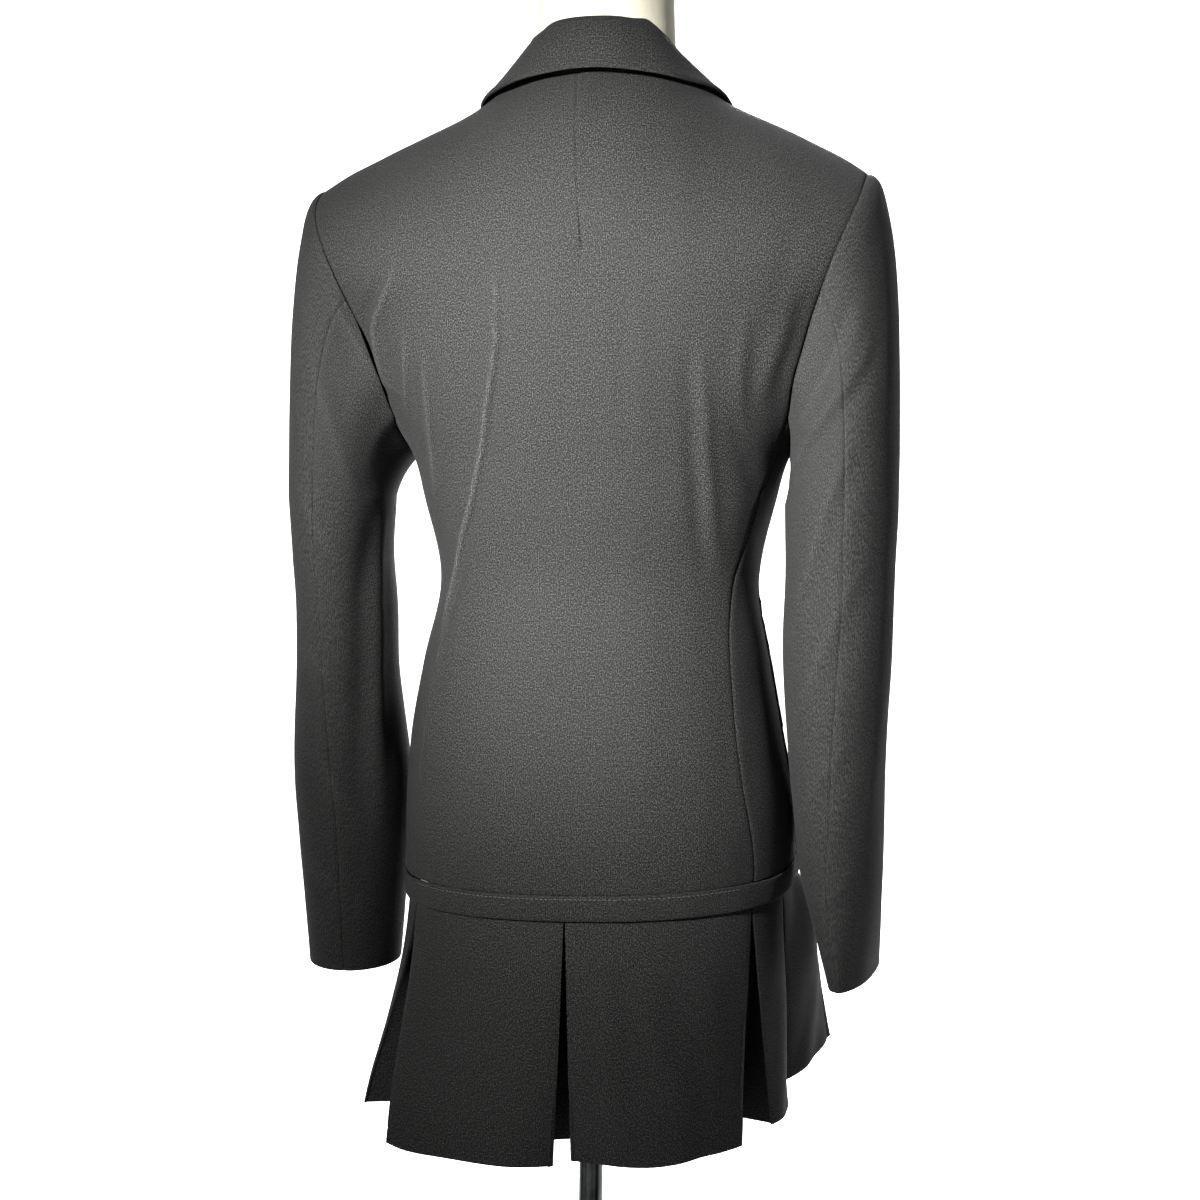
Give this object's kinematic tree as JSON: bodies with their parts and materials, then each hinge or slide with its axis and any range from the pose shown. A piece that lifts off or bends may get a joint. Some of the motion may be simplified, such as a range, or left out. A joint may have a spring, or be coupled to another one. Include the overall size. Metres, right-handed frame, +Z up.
{
  "type": "tailored jacket on a limbless dress form",
  "caption": "Fitted charcoal wool jacket with long sleeves and a pleated drop-waist skirt part, on a linen dress form with a pole and round foot.",
  "frame": {"origin": "middle of the stand's foot where it meets the floor", "axes": "+Z up the pole, -Y towards the jacket's front, +X towards the wearer's left"},
  "size_m": [0.4683, 0.34, 1.5359],
  "materials": {
    "charcoal_wool": "fine worsted with a soft nap",
    "dark_horn": "polished",
    "cream_linen": "plain weave",
    "chrome": "polished"
  },
  "bodies": {
    "root": {"back": "charcoal_wool", "side_back_left": "charcoal_wool", "side_back_right": "charcoal_wool", "front_left": "charcoal_wool", "front_right": "charcoal_wool", "top_sleeve_left": "charcoal_wool", "top_sleeve_right": "charcoal_wool", "under_sleeve_left": "charcoal_wool", "under_sleeve_right": "charcoal_wool", "lapel_left": "charcoal_wool", "lapel_right": "charcoal_wool", "collar": "charcoal_wool", "hip_band_back": "charcoal_wool", "hip_band_left": "charcoal_wool", "hip_band_right": "charcoal_wool", "skirt_back": "charcoal_wool", "skirt_left": "charcoal_wool", "skirt_right": "charcoal_wool", "button_1": "dark_horn", "button_2": "dark_horn", "button_3": "dark_horn", "form": "cream_linen", "pole": "chrome", "base": "chrome"}
  },
  "joints": []
}
